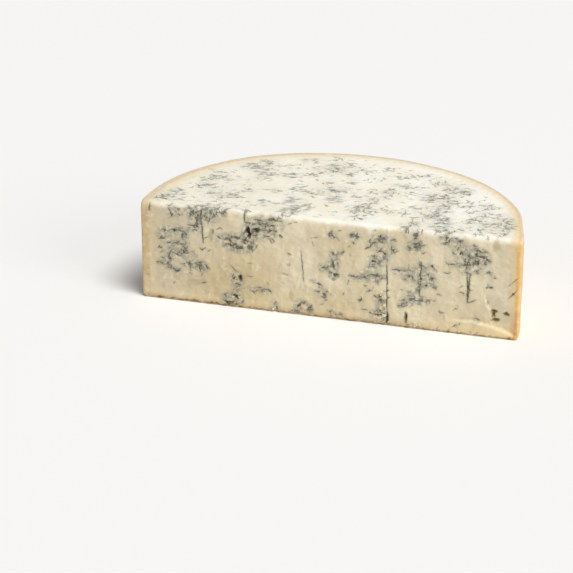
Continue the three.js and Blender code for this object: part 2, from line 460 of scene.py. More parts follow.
for ids in (front_ids, back_ids[:, ::-1]):
    low_left, low_right = ids[:-1, :-1].ravel(), ids[:-1, 1:].ravel()
    high_left, high_right = ids[1:, :-1].ravel(), ids[1:, 1:].ravel()
    faces += np.column_stack((low_left, low_right, high_right, high_left)).tolist()
zip_lines((front_ids[:, -1], front_wall[:, -1]), (back_ids[:, -1], back_wall[:, -1]))
zip_lines((back_ids[:, 0], back_wall[:, 0]), (front_ids[:, 0], front_wall[:, 0]))
level_face(-1, TOP_STEP, True)
level_face(0, UNDERSIDE_STEP, False)
base, facing = np.vstack(skin_places), np.vstack(skin_facings)
print(len(base), "points and", len(faces), "faces")

# %% [markdown]
# Where the mould grew
#
# Blue mould grows only where air gets in: along the channels that long needles pierced,
# and in the small gaps between the curds beside them. On a cut face it shows as short,
# wandering dark strokes that crowd into patches. It could be painted by hand or by one
# noise all over, but then it would sit anywhere. So patches are placed where the real
# wheel has them, each is filled with random strokes, and every point of a face remembers
# how far inside or outside the nearest stroke it lies.

# %% Channels and patches of mould
from collections import namedtuple

SEED = 7
Patch = namedtuple("Patch", "x y half_x half_y strokes length slant width", defaults=(5, 0, 0.5))
Channel = namedtuple("Channel", "low_x low_z high_x high_z radius darkness", defaults=(1.0,))

CHANNELS = (
    Channel(-101.6, 66, -101.0, 83, 1.1),
    Channel(-100.2, 51, -101.2, 68, 0.85),
    Channel(-66.2, 72.5, -66.6, 84, 0.85),
    Channel(-18.6, 28, -20.7, 54, 0.45),
    Channel(48.6, -1, 48.7, 13, 1.1),
    Channel(48.4, 12, 47.8, 31, 0.65),
    Channel(48.2, 30, 47.6, 51, 0.8),
    Channel(47.5, 50, 47.4, 80, -0.1),
    Channel(74.4, 36, 74.6, 56, 0.85),
    Channel(74.0, 27, 74.2, 34, 0.6),
    Channel(74.2, 79, 74.0, 86, 0.9),
    Channel(110.7, 26, 109.9, 51, 0.7),
    Channel(111.5, 26.5, 112.5, 51, 0.7),
    Channel(111.2, 26, 118.2, 30, 0.6),
    Channel(142.2, 44, 150.5, 53, 0.3),
    Channel(142.4, 34, 149.0, 42, 0.5),
    Channel(-77.5, 35, -72.5, 30, 0.5),
    Channel(-111.5, 35, -111.4, 27, 0.55),
    Channel(63.8, 4.5, 63.2, 12.5, 0.85),
)

FRONT_PATCHES = (
    Patch(-144, 76.5, 1.2, 2, 4, 3, 60),
    Patch(-127, 80, 2.4, 0.8, 2, 4, 0, 0.4),
    Patch(-126.5, 73.5, 1, 2, 5, 3.5, 65, 0.6),
    Patch(-119.5, 78, 1, 1.6, 3, 3.5, -50, 0.45),
    Patch(-119.5, 73.5, 0.8, 1.4, 2, 4, 75, 0.45),
    Patch(-108, 77, 2.6, 3.4, 9, 4, 60, 0.6),
    Patch(-105, 71, 1.8, 6.5, 11, 4.5, 82),
    Patch(-110, 80, 3, 0.8, 3, 4, 5),
    Patch(-107, 65, 3, 1, 4, 4.5, 0, 0.55),
    Patch(-107, 61.5, 2, 0.8, 2, 3, 25, 0.4),
    Patch(-96.5, 79.6, 4, 0.8, 5, 6, 0, 0.55),
    Patch(-85.5, 80, 4.4, 1.2, 6, 5, 5, 0.55),
    Patch(-91, 77, 2.6, 3.4, 9, 4, -55, 0.5),
    Patch(-96, 73, 3.4, 3.4, 8, 3.5, 60, 0.4),
    Patch(-131, 59, 2.4, 0.8, 3, 4.5, 25, 0.6),
    Patch(-123.5, 60, 5, 0.6, 5, 5, -5, 0.65),
    Patch(-116, 58.5, 2.4, 0.6, 2, 4.5, -5),
    Patch(-117.4, 55, 0.6, 1.4, 2, 4, 80),
    Patch(-114.5, 54.3, 1, 0.5, 1, 3.5, 0, 0.45),
    Patch(-134.5, 53, 2.4, 0.7, 3, 5, 15),
    Patch(-128.5, 49, 2, 0.4, 2, 5, 0, 0.4),
    Patch(-120.5, 49.2, 3, 0.8, 4, 5, -8),
    Patch(-115.3, 46, 1.4, 3.4, 5, 3.5, 80),
    Patch(-136, 44, 1, 0.7, 2, 2.5, 10, 0.45),
    Patch(-129, 43.8, 1.4, 0.4, 1, 4, 5, 0.4),
    Patch(-134, 41, 1, 0.8, 2, 2.5, 30, 0.4),
    Patch(-124.5, 40, 2.4, 0.7, 3, 4.5, 18),
    Patch(-117, 41.5, 4, 0.5, 4, 5.5, 2, 0.55),
    Patch(-107.8, 41, 1.4, 1.2, 2, 4.5, -45, 0.55),
    Patch(-121.5, 38.5, 1.4, 0.8, 2, 3, -30, 0.45),
    Patch(-134, 36, 0.8, 0.6, 2, 2, 0, 0.6),
    Patch(-128.3, 35, 1, 1.8, 3, 4, -65, 0.55),
    Patch(-135.5, 31, 2.4, 0.6, 3, 4.5, -5, 0.55),
    Patch(-129.5, 30.8, 1, 0.7, 2, 3, 20),
    Patch(-127, 27.4, 2, 1, 4, 3, 10, 0.6),
    Patch(-121.8, 25, 1.4, 1.4, 4, 2.5, 30, 0.65),
    Patch(-112.5, 32.3, 4.4, 0.5, 4, 5, 0),
    Patch(-104.5, 33, 2, 1, 4, 4, -12, 0.55),
    Patch(-103, 29.5, 1.4, 1.6, 4, 3, 70, 0.6),
    Patch(-97.6, 32, 0.6, 2.4, 2, 4.5, -75, 0.4),
    Patch(-109.5, 24.5, 1.4, 0.5, 1, 3.5, 15, 0.4),
    Patch(-101, 46, 1.6, 0.5, 2, 3, 0, 0.45),
    Patch(-96, 45.5, 1, 0.5, 1, 2.5, 20, 0.35),
    Patch(-100.5, 17.5, 0.8, 0.4, 1, 2.5, 0, 0.45),
    Patch(-87.3, 57.5, 1, 1, 2, 3, -35, 0.55),
    Patch(-81, 56.7, 3.4, 0.8, 5, 4.5, 0, 0.55),
    Patch(-73, 58.8, 5, 1, 8, 4.5, -8, 0.55),
    Patch(-75, 53, 4.4, 1.6, 9, 4.5, 0, 0.6),
    Patch(-71, 50.8, 3.4, 1, 5, 4, -5, 0.6),
    Patch(-66, 56.5, 2.4, 1.4, 6, 3.5, 10, 0.65),
    Patch(-62, 53, 2.2, 2, 6, 4.5, -42, 0.65),
    Patch(-60, 57.5, 2.4, 1.4, 4, 3, -30, 0.45),
    Patch(-57, 67, 2.2, 2.2, 9, 3.5, 20, 0.65),
    Patch(-58.5, 63.5, 3.4, 1.2, 5, 4.5, 14, 0.6),
    # Strokes of full width paint the deep pocket black: partly mould, partly painted shade.
    Patch(-63.8, 64, 0.5, 2.4, 6, 4.5, -80, 1.0),
    Patch(-48, 67.7, 7, 0.7, 7, 6, 8, 0.6),
    Patch(-60, 72.4, 4, 1.2, 6, 4, 0),
    Patch(-49, 72.2, 7, 1, 8, 5, -2, 0.55),
    Patch(-43, 77, 6.4, 1, 8, 4.5, 4, 0.6),
    Patch(-55, 75.5, 4, 1.4, 4, 3.5, 10, 0.4),
    Patch(-49, 63, 2, 0.6, 2, 4, -20, 0.55),
    Patch(-44.5, 60.3, 2, 0.8, 2, 4, -30),
    Patch(-30.5, 50, 1.6, 0.6, 2, 2.5, -20, 0.35),
    Patch(-70.3, 25.5, 1, 2, 8, 4, -60, 0.75),
    Patch(-75, 25, 1.4, 2, 5, 3, 60, 0.55),
    Patch(-71.5, 20, 2.4, 1.4, 4, 3, -20),
    Patch(-73, 15, 1.6, 1.4, 3, 3, 10, 0.45),
    Patch(-73.5, 8.5, 2.4, 1.6, 7, 3.5, -10, 0.55),
    Patch(-68, 5.3, 0.5, 1, 2, 3, 80, 0.6),
    Patch(-83.2, 9, 0.6, 1.2, 2, 3, -65, 0.7),
    Patch(-80, 4, 3.4, 1, 6, 4.5, -28, 0.75),
    Patch(-73.5, 2.5, 2.4, 1.2, 4, 4, -10, 0.6),
    Patch(-53.5, 17.8, 5, 0.4, 4, 5, 3, 0.4),
    Patch(-56.5, 15.9, 3.4, 0.4, 3, 4.5, 0, 0.4),
    Patch(-46.5, 17, 1.4, 1, 2, 3, -30, 0.45),
    Patch(-41, 5, 1.2, 2, 4, 4, -60, 0.55),
    # Painted shade in a torn gap at the foot, drawn as dark mould strokes.
    Patch(-41, 0.9, 2.4, 0.3, 3, 5, 0, 0.7),
    Patch(-18.5, 11, 1.4, 0.7, 2, 4.5, 28, 0.45),
    Patch(-22.3, 7.5, 1.2, 1.4, 5, 4, 60, 0.75),
    Patch(-24.5, 3, 2, 1.4, 4, 4, 60, 0.6),
    Patch(-13.5, 5.5, 2, 1.8, 6, 3, 50, 0.55),
    # Painted shade in a torn gap at the foot, drawn as dark mould strokes.
    Patch(-21, 0.8, 4.4, 0.3, 5, 5, 0, 0.6),
    Patch(-10.5, 30.7, 2.4, 0.5, 2, 3, 0, 0.4),
    Patch(-6, 28, 3, 0.6, 4, 3.5, 8),
    Patch(-7, 21.6, 2, 0.6, 3, 3.5, -12, 0.55),
    Patch(-1.6, 18.4, 1, 1.8, 4, 4, -58, 0.6),
    Patch(-1, 22.3, 1.4, 0.6, 2, 3, 20, 0.45),
    Patch(-3.6, 11.5, 0.6, 0.5, 2, 1.5, 0, 0.45),
    Patch(2.8, 71, 0.8, 1.4, 3, 3, 70, 0.55),
    Patch(5.2, 70, 0.8, 1, 3, 3, -60, 0.55),
    Patch(9, 67, 1, 0.8, 1, 3, -40, 0.35),
    Patch(19.5, 71.3, 1.6, 0.6, 3, 4, 5, 0.55),
    Patch(24, 71, 1.2, 1.2, 4, 3, 50, 0.65),
    Patch(21.4, 65.6, 0.8, 0.7, 2, 2, 0, 0.6),
    Patch(5, 55, 0.8, 0.6, 2, 3, -45, 0.6),
    Patch(7.6, 54, 1.4, 0.4, 2, 3.5, 5, 0.65),
    Patch(12.5, 57, 1.4, 0.7, 3, 3.5, 35),
    Patch(5, 45.5, 0.6, 2.4, 4, 4.5, 88, 0.6),
    Patch(8.8, 47, 0.5, 1.2, 2, 3.5, -80, 0.55),
    Patch(-1.5, 42.3, 2.8, 0.7, 5, 4, 4, 0.65),
    Patch(2, 39.5, 1.6, 0.8, 3, 3, 0, 0.45),
    Patch(7.2, 37.7, 1.2, 1, 5, 3.5, -30, 0.85),
    Patch(16.8, 33, 0.6, 1, 1, 3, 70, 0.3),
    Patch(13.7, 22.2, 0.6, 0.8, 2, 2, 60, 0.45),
    Patch(27.3, 18.5, 1.4, 1.4, 4, 2.5, 30),
    Patch(30.8, 10.8, 0.8, 0.4, 1, 3, -10, 0.5),
    Patch(2, 5.5, 3, 0.5, 2, 5, -8, 0.4),
    Patch(10.2, 4.2, 2.4, 0.4, 3, 4.5, -4, 0.55),
    # Painted shade in two torn gaps at the foot, drawn as dark mould strokes.
    Patch(2.5, 0.8, 3, 0.3, 3, 5, 0, 0.5),
    Patch(29.5, 0.8, 3, 0.3, 3, 5, 0, 0.5),
    Patch(32, 31, 0.8, 0.4, 2, 3, 0, 0.55),
    Patch(34, 27.5, 1.2, 1.2, 3, 2.5, 50, 0.45),
    Patch(21.5, 38, 1.6, 0.6, 3, 3.5, -18, 0.45),
    Patch(29.5, 38.5, 4, 0.5, 5, 5, 12, 0.5),
    Patch(38, 41, 4, 0.6, 5, 5, 10, 0.55),
    Patch(39.8, 36, 0.6, 2, 3, 4, 70),
    Patch(43.5, 38.3, 1.6, 1.2, 4, 2.5, 0, 0.45),
    Patch(42.1, 73, 0.9, 0.5, 4, 2.4, 0, 1.0),
    Patch(37.6, 77.8, 0.6, 0.5, 2, 1.8, 0, 0.6),
    Patch(36, 68, 2.2, 1.6, 5, 3.5, 40, 0.55),
    Patch(31.5, 63, 1.4, 0.8, 3, 3, 35),
    Patch(43, 71, 3.4, 0.7, 4, 4.5, 5, 0.4),
    Patch(43, 68.5, 0.7, 0.5, 2, 2, 0),
    Patch(51.7, 62.3, 1.4, 1.6, 7, 3, -30, 0.55),
    Patch(52.5, 71, 2, 0.6, 3, 4, 20, 0.4),
    Patch(38, 57, 2, 1, 4, 3.5, 20),
    Patch(44.5, 60, 3, 0.8, 5, 4.5, 14, 0.65),
    Patch(45.5, 56, 0.8, 1.6, 3, 3, -70, 0.45),
    Patch(39.5, 52.3, 3.4, 1, 6, 4, 14, 0.55),
    Patch(36, 48.2, 1.8, 0.8, 4, 3.5, 15, 0.55),
    Patch(39, 23.5, 0.8, 0.8, 2, 2, 0, 0.7),
    Patch(43, 20.5, 1.2, 3, 7, 3, 75, 0.6),
    Patch(42, 11.5, 1.2, 1, 3, 3, -50, 0.6),
    Patch(42, 7.5, 2.4, 0.8, 5, 4, 4, 0.75),
    Patch(46, 5, 2.4, 2.6, 5, 3, 60, 0.45),
    # Painted shade in a torn gap at the foot, drawn as dark mould strokes.
    Patch(44.5, 0.9, 4, 0.4, 6, 5, 0, 0.75),
    Patch(62, 82, 0.8, 1, 4, 2.5, 0, 1.0),
    Patch(65.3, 83, 0.8, 0.8, 3, 2.5, 20, 0.8),
    Patch(70, 77.8, 2.4, 2, 7, 3, 45, 0.6),
    Patch(66, 66.3, 1.6, 0.6, 3, 3.5, 0, 0.6),
    Patch(71.5, 68.5, 3.4, 2.8, 13, 3.5, 20, 0.42),
    Patch(73.8, 52, 2, 3, 7, 3, 80),
    Patch(73.6, 42, 1.4, 4, 8, 3.5, 88),
    Patch(73, 33, 1.2, 3.4, 8, 3, 80),
    Patch(77.5, 51, 0.8, 0.6, 2, 2.5, 0, 0.55),
    Patch(78, 23.9, 4, 0.8, 5, 5, -18, 0.5),
    Patch(85.3, 26, 0.6, 0.5, 1, 2.5, 30, 0.45),
    Patch(57, 46.7, 3.4, 0.4, 4, 5, 2, 0.5),
    Patch(66, 47.5, 3, 0.8, 3, 5, 15, 0.35),
    Patch(65.5, 43.3, 2.6, 0.8, 4, 4, -20, 0.45),
    Patch(62.5, 39.2, 1.6, 0.5, 2, 3, 0, 0.4),
    Patch(59, 31, 1, 0.4, 1, 2.5, 0, 0.4),
    Patch(65.3, 30.1, 1, 0.5, 3, 2.4, 0, 0.6),
    Patch(67.4, 24.3, 0.8, 0.6, 4, 2.4, 0, 0.8),
    Patch(62, 22, 1.4, 1.4, 3, 3, 60, 0.45),
    Patch(60, 18.2, 1.8, 0.6, 4, 4, 28, 0.6),
    Patch(71.5, 22.7, 1.4, 0.7, 2, 4, -35, 0.45),
    Patch(80, 46, 0.8, 1.2, 3, 3, -60, 0.6),
    Patch(83, 42.2, 1.4, 1.4, 5, 3, -45, 0.6),
    Patch(79.5, 36.6, 0.8, 0.6, 2, 2, 0, 0.6),
    Patch(85.5, 36.5, 1, 0.6, 3, 2.6, 0, 0.65),
    Patch(82.3, 54, 1, 0.4, 2, 2.8, 5, 0.55),
    Patch(85.7, 50.5, 0.8, 0.6, 2, 2.4, -30, 0.5),
    Patch(88.7, 31, 1.4, 0.4, 2, 3, 0, 0.4),
    Patch(88.8, 82, 1, 0.5, 3, 2.6, -10, 0.85),
    Patch(93.5, 80.5, 0.7, 1.6, 4, 3.5, 80, 0.7),
    Patch(94.5, 77.3, 2.8, 1, 6, 3, 20, 0.6),
    Patch(93.5, 74, 1.6, 0.6, 3, 3.5, 20, 0.65),
    Patch(102, 76, 1, 0.8, 2, 3, -45, 0.55),
    Patch(104.6, 76, 0.8, 0.7, 3, 3, 40, 0.6),
    Patch(103, 70.7, 1, 0.4, 1, 3, 10, 0.45),
    Patch(98.9, 66, 0.5, 1, 2, 3, 70, 0.6),
    Patch(105, 66.4, 0.9, 0.8, 4, 2.6, 25, 0.8),
    Patch(95.5, 57.4, 1.2, 0.7, 2, 3, -30),
    Patch(99.3, 56.8, 1, 0.4, 2, 3, 5, 0.55),
    Patch(94.5, 49.5, 1.4, 0.6, 2, 3.5, 10, 0.35),
    Patch(108.8, 58, 1.4, 4, 10, 3.5, 84, 0.6),
    Patch(111.2, 62, 0.8, 6, 9, 4.5, 88, 0.55),
    Patch(105.5, 58, 1, 1, 2, 2.5, 20, 0.5),
    Patch(117.8, 61, 1.4, 2.8, 8, 3.5, 62, 0.6),
    Patch(121.5, 65.7, 2.8, 0.8, 5, 4, -4, 0.55),
    Patch(125.6, 63, 0.9, 1.2, 4, 3, -50, 0.55),
    Patch(123.4, 61, 1, 0.5, 2, 3, 10, 0.5),
    Patch(116.3, 66.5, 1, 1.4, 4, 3, 60, 0.6),
    Patch(118.6, 70.4, 1, 0.4, 2, 3, 0, 0.6),
    Patch(122.8, 69.7, 1.8, 0.4, 2, 4, 5, 0.45),
    Patch(114.6, 59.5, 1.2, 2.4, 5, 3, 40),
    Patch(117, 53.8, 1, 0.7, 3, 3, 15, 0.65),
    Patch(115, 74, 0.6, 1, 2, 3, 60, 0.5),
    Patch(127.2, 53.2, 0.8, 0.5, 3, 2.8, -30, 0.75),
    Patch(130.8, 49.6, 0.9, 0.6, 2, 3, 40, 0.55),
    Patch(126, 41.5, 1, 1.4, 3, 2, 60, 0.35),
    Patch(129, 41.3, 0.5, 0.5, 2, 1.6, 0, 0.5),
    Patch(124.2, 81.5, 0.5, 1.4, 2, 3.5, -80, 0.6),
    Patch(107.7, 34.5, 0.9, 0.4, 2, 2.4, 0, 0.55),
    Patch(146, 38.8, 0.8, 0.9, 3, 3, 50, 0.7),
    Patch(91, 16.5, 0.8, 0.3, 2, 3, 0, 0.5),
    Patch(101.8, 20.2, 0.8, 0.4, 2, 2.6, 5, 0.45),
    Patch(102, 23.5, 0.8, 0.6, 1, 2.5, 0, 0.3),
    Patch(118.8, 13, 0.9, 0.3, 3, 4, -3, 0.6),
    Patch(102, 6.3, 0.9, 0.4, 2, 3, -8, 0.6),
    Patch(106, 7.6, 0.6, 0.4, 1, 2, 0, 0.35),
)

TOP_PATCHES = (
    Patch(-92, 100, 8.5, 7.2, 14, 5, 16, 0.55),
    Patch(-81, 111, 6.2, 7.2, 10, 5, 28),
    Patch(-77, 92, 10, 8.4, 10, 6, 28, 0.5),
    Patch(-73, 83, 8.8, 10.8, 12, 6, 32),
    Patch(-54, 86, 7.5, 7.2, 9, 5, 4, 0.65),
    Patch(-60, 110, 11.2, 7.2, 8, 5, 4, 0.45),
    Patch(-47, 125, 6.2, 7.2, 9, 5, 24),
    Patch(-36, 96, 6.2, 7.2, 8, 5, 20),
    Patch(-28, 136, 5, 6, 6, 4, -32),
    Patch(-24, 119, 7.5, 6, 11, 5, 32),
    Patch(-24, 109, 8.5, 6, 16, 5, 4),
    Patch(-16, 126, 5, 4.8, 6, 4, -32),
    Patch(-9, 102, 7.5, 4.8, 8, 5, 4),
    Patch(3, 116, 8.8, 4.8, 8, 4, 12),
    Patch(20, 124, 5, 4.8, 6, 4, -8),
    Patch(17, 99, 5, 4.8, 5, 4, 24),
    Patch(-3, 86, 5, 4.8, 6, 4, 4),
    Patch(-19, 80, 3.8, 3.6, 4, 4, 4, 0.5),
    Patch(-10, 66, 8.8, 6, 13, 5, 4, 0.7),
    Patch(-6, 46, 6.2, 8.4, 14, 5, 36, 0.55),
    Patch(-30, 54, 10, 4.8, 9, 5, 16),
    Patch(-42, 64, 8.8, 7.2, 9, 5, 12, 0.5),
    Patch(-37, 36, 5, 7.2, 9, 4, 36, 0.6),
    Patch(-52, 24, 11.2, 7.2, 13, 5, 8, 0.5),
    Patch(-60, 54, 10, 9.6, 9, 5, 32, 0.45),
    Patch(-79, 45, 7.5, 4.8, 7, 4, 8),
    Patch(-95, 62, 11.2, 10.8, 9, 5, 24, 0.4),
    Patch(-110, 46, 10, 6, 10, 5, 12, 0.65),
    Patch(-117, 60, 5, 6, 8, 4, 32, 0.7),
    Patch(-109, 68, 8.8, 4.8, 8, 5, 16),
    Patch(-114, 82, 7.5, 7.2, 6, 5, 16, 0.45),
    Patch(-92, 31, 15, 6, 16, 6, 14, 0.65),
    Patch(-131, 31, 7.5, 6, 9, 4, 12, 0.65),
    Patch(-138, 13, 6.2, 7.4, 13, 5, -28, 0.6),
    Patch(-130, 17, 10, 7.2, 10, 6, 24, 0.5),
    Patch(-95, 12, 12.5, 7.2, 7, 5, 12, 0.4),
    Patch(-26, 22, 7.5, 9.6, 12, 6, 28),
    Patch(-33, 10, 7.5, 8.4, 15, 5, 36, 0.6),
    Patch(50, 116, 12.5, 7.2, 13, 5, 12),
    Patch(33, 108, 6.2, 6, 7, 4, 12, 0.5),
    Patch(67, 103, 10, 7.2, 11, 5, -8),
    Patch(78, 90, 6.2, 7.2, 12, 4, -16, 0.55),
    Patch(88, 88, 7.2, 5.8, 15, 4, 28, 0.6),
    Patch(72, 75, 7.5, 6, 12, 4, 4, 0.65),
    Patch(66, 69, 6.2, 7.2, 11, 4, 32, 0.65),
    Patch(90, 64, 12.5, 8.4, 17, 5, 20),
    Patch(80, 49, 5, 10.8, 12, 5, 38, 0.65),
    Patch(76, 33, 6.2, 6, 13, 4, 4, 0.6),
    Patch(84, 22, 5, 9.6, 10, 5, -20, 0.65),
    Patch(114, 63, 11.2, 6, 11, 5, -2),
    Patch(45, 88, 15, 3.6, 10, 6, 7, 0.5),
    Patch(31, 71, 3.8, 12, 11, 5, -30),
    Patch(45, 73, 7.5, 7.2, 9, 4, -12),
    Patch(22, 51, 5, 9.6, 9, 5, -24),
    Patch(11, 55, 6.2, 3.6, 5, 4, 0, 0.5),
    Patch(20, 24, 12.5, 14.4, 28, 4.5, 28, 0.65),
    Patch(13, 36, 7.5, 6, 7, 4, 12, 0.5),
    Patch(41, 31, 2.5, 3.6, 4, 3, -32, 0.7),
    Patch(53, 29, 3.8, 3.6, 4, 3, 28, 0.7),
    Patch(64, 47, 8.8, 6, 9, 5, 4, 0.5),
    Patch(62, 34, 10, 7.2, 7, 5, 4, 0.4),
    Patch(110, 34, 6.2, 7.2, 10, 5, 32),
    Patch(120, 45, 10, 6, 12, 5, 20),
    Patch(124, 27, 10, 7.2, 14, 5, -12),
    Patch(133, 38, 3.8, 8.4, 8, 5, -24, 0.65),
    Patch(136, 28, 5, 7.2, 11, 5, -32, 0.55),
    Patch(100, 50, 10, 6, 6, 4, 12, 0.4),
    Patch(90, 13, 11.2, 8.4, 11, 5, -28),
    Patch(112, 12, 11.2, 8.4, 10, 4.5, 28, 0.6),
    Patch(132, 12, 7.5, 7.2, 8, 4, 28, 0.65),
    Patch(65, 18, 6.2, 8.4, 9, 5, -20, 0.5),
    Patch(62, 5, 5, 4.8, 7, 4, -32, 0.8),
    Patch(92, 4, 7.5, 3.6, 9, 4, 32, 0.7),
    Patch(-94, 3, 17.5, 3.6, 12, 5, 8, 0.65),
    Patch(-66, 4, 3.8, 4.8, 4, 5, -32, 0.5),
)


WANDERING = 0.3
LENGTHS, WIDTHS = (0.5, 1.5), (0.55, 1.3)


def walk(start, slant, length, random):
    """The points of one wandering stroke."""
    steps = 4
    heading = math.radians(slant)
    line = [np.array(start)]
    for _ in range(steps):
        line.append(line[-1] + length / steps * np.array((math.cos(heading), math.sin(heading))))
        heading += random.normal(0, WANDERING)
    return np.array(line)


def strokes_in(patch, random, boldness, spread, choices):
    """Short strokes in an oval, each in the roomiest of some random spots."""
    spots = []
    for _ in range(patch.strokes):
        out = np.sqrt(random.uniform(size=choices))
        around = random.uniform(0, 2 * math.pi, choices)
        tries = np.column_stack((out * np.cos(around), out * np.sin(around)))
        room = [min((np.hypot(*(t - s)) for s in spots), default=0) for t in tries]
        spots.append(tries[int(np.argmax(room))])
        middle = np.array((patch.x, patch.y)) + spots[-1] * (patch.half_x, patch.half_y)
        slant = patch.slant + random.normal(0, spread)
        length = patch.length * random.uniform(*LENGTHS)
        turned = np.array((math.cos(math.radians(slant)), math.sin(math.radians(slant))))
        width = boldness * patch.width * random.uniform(*WIDTHS)
        width *= (1.1 - 0.3 * np.hypot(*spots[-1])) * (1.7 if random.uniform() > 0.9 else 1)
        yield walk(middle - turned * length / 2, slant, length, random), width


LOOSE_ON_TOP, LOOSE_ON_FRONT = 300, 45
CLEAN_BAND = 13.0


def loose_strokes(count, across, upwards, random):
    """Small single strokes anywhere but in the clean band under the rind."""
    for _ in range(count):
        start = np.array((random.uniform(*across), random.uniform(*upwards)))
        if np.hypot(*start) < RADIUS - CLEAN_BAND:
            length = random.uniform(1.5, 5)
            yield walk(start, random.normal(5, 35), length, random), random.uniform(0.15, 0.45)


def distance_to(line, places):
    """Each place's distance from a line of points, below 0 on one side of it, and how far
    along the line it is."""
    nearest = np.full(len(places), 1e9)
    along = np.zeros(len(places))
    for i, (a, b) in enumerate(zip(line, line[1:])):
        step = b - a
        t = np.clip((places - a) @ step / max(step @ step, 1e-9), 0, 1)
        out = places - a - t[:, None] * step
        away = np.linalg.norm(out, axis=1)
        side = np.where(step[0] * out[:, 1] < step[1] * out[:, 0], -1, 1)
        closer = away < np.abs(nearest)
        nearest[closer] = (side * away)[closer]
        along[closer] = (i + t[closer]) / (len(line) - 1)
    return nearest, along


SURROUNDINGS = 7.0


def draw_strokes(places, strokes, inside, offset, half_width):
    """Marks how far inside its nearest stroke each place is, how far to the left or right
    of the stroke's middle line it lies, and how wide the stroke is there."""
    for line, width in strokes:
        low_corner, high_corner = line.min(0) - SURROUNDINGS, line.max(0) + SURROUNDINGS
        near = np.all((places > low_corner) & (places < high_corner), axis=1).nonzero()[0]
        if not len(near):
            continue
        away, along = distance_to(line, places[near])
        wide = width * (1 - 0.75 * np.abs(2 * along - 1) ** 2)
        better = wide - np.abs(away) > inside[near]
        drawn = near[better]
        inside[drawn] = (wide - np.abs(away))[better]
        offset[drawn], half_width[drawn] = away[better], wide[better]


HAZE_REACH, FULL_CROWD = 3.5, 1.2


def grow(places, patches, growth):
    """Adds how mouldy the surroundings of each place are, fading out past each patch."""
    for patch in patches:
        x = (places[:, 0] - patch.x) / (patch.half_x + HAZE_REACH)
        y = (places[:, 1] - patch.y) / (patch.half_y + HAZE_REACH)
        crowd = patch.strokes * patch.length * patch.width / (patch.half_x * patch.half_y + 12)
        growth += np.minimum(crowd, FULL_CROWD) * np.exp(-(x * x + y * y))


def swell(places, size, start):
    """A soft random height from -1 to 1 whose humps are about as long as size."""
    shift = Vector((start, 2 * start, 0))
    return np.array([noise.noise(Vector(p) / size + shift) for p in places]) * 1.6


def bend(places, amount):
    """Moves places about a little, so that straight strokes drawn there come out ragged."""
    coarse = np.column_stack([swell(places, 5.5, start) for start in (21.3, 33.7, 47.1)])
    fine = np.column_stack([swell(places, 2.3, start) for start in (11.9, 63.2, 5.8)])
    return places + amount * (0.35 * coarse + 0.6 * fine)


LEFT_BOLDNESS, RIGHT_BOLDNESS = 0.76, 0.65
TOP_BOLDNESS, CHANNEL_BOLDNESS = 0.73, 0.72
FRONT_LEFT_END, TOP_RIGHT_START = -35, 10
FRONT_SPREAD, TOP_LEFT_SPREAD, TOP_RIGHT_SPREAD = 18, 22, 55
random = np.random.default_rng(SEED)
front_strokes = []
for patch in FRONT_PATCHES:
    boldness = LEFT_BOLDNESS if patch.x < FRONT_LEFT_END else RIGHT_BOLDNESS
    front_strokes += list(strokes_in(patch, random, boldness, FRONT_SPREAD, choices=3))
channel_lines = []
for c in CHANNELS:
    ends = np.array(((c.low_x, c.low_z), (c.high_x, c.high_z)))
    bow = ends[0] + (ends[1] - ends[0]) * 0.5 + random.normal(0, 0.25, 2)
    channel_lines.append((np.array((ends[0], bow, ends[1])), c.radius * CHANNEL_BOLDNESS))
top_strokes = []
for patch in TOP_PATCHES:
    spread = TOP_RIGHT_SPREAD if patch.x > TOP_RIGHT_START else TOP_LEFT_SPREAD
    top_strokes += list(strokes_in(patch, random, TOP_BOLDNESS, spread, choices=1))
top_strokes += list(loose_strokes(LOOSE_ON_TOP, (-138, 138), (4, 138), random))
front_strokes += list(loose_strokes(LOOSE_ON_FRONT, (-138, 140), (4, 78), random))
print(len(front_strokes), "strokes on the front,", len(top_strokes), "on the top")

# %% [markdown]
# What each point knows
#
# Every point of the skin carries numbers for the material: where it lies in or beside the
# nearest mould stroke, how mouldy its surroundings are, how deep under the rind it lies,
# whether it belongs to the level top, where the paste is whiter, how much whey has stained
# it olive, and how much tan it gets, which is partly the tan of the rind at the left end and
# partly painted shade on the lower front. The distance to a stroke's middle line has a
# sign, because then it passes through nothing between two points, and a stroke thinner than
# the space between the points still comes out whole.

# %% Numbers for the points
FAR_OUTSIDE = -6.0
EDGE_BAND = 5.5
Area = namedtuple("Area", "x z half_x half_z strength")
OLIVE_STAINS = (
    Area(131.8, 21.0, 2.4, 1.2, 1.0),
    Area(130.9, 18.4, 1.0, 2.2, 1.0),
    Area(132.6, 13.8, 2.8, 1.3, 0.9),
    Area(141.1, 20.3, 2.3, 1.3, 1.0),
    Area(63.6, 8.4, 1.5, 4.4, 0.7),
    Area(-93.6, 58.4, 1.6, 4.0, 0.4),
    Area(5.8, 33.2, 1.2, 1.0, 0.7),
    Area(3.6, 20.4, 1.0, 1.0, 0.4),
    Area(131.6, 75.5, 2.2, 4.6, 0.35),
    Area(126.2, 28.0, 0.7, 1.7, 0.5),
    Area(-28.5, 15.0, 1.6, 3.4, 0.25),
    Area(-108.0, 17.0, 5.0, 2.4, 0.25),
    Area(-12.5, 5.6, 2.4, 2.6, 0.4),
)
CRUMBLY_AREAS = (
    Area(44.5, 15, 3.2, 11, 1.0),
    Area(45, 4, 4.5, 3.5, 1.0),
    Area(70, 3.4, 5.0, 1.6, 0.7),
    Area(-42, 3, 3.0, 2.0, 0.5),
    Area(-66, 61, 4.0, 3.5, 0.35),
    Area(-73, 6, 4.0, 4.0, 0.4),
    Area(100, 2.6, 24, 1.0, 0.25),
)
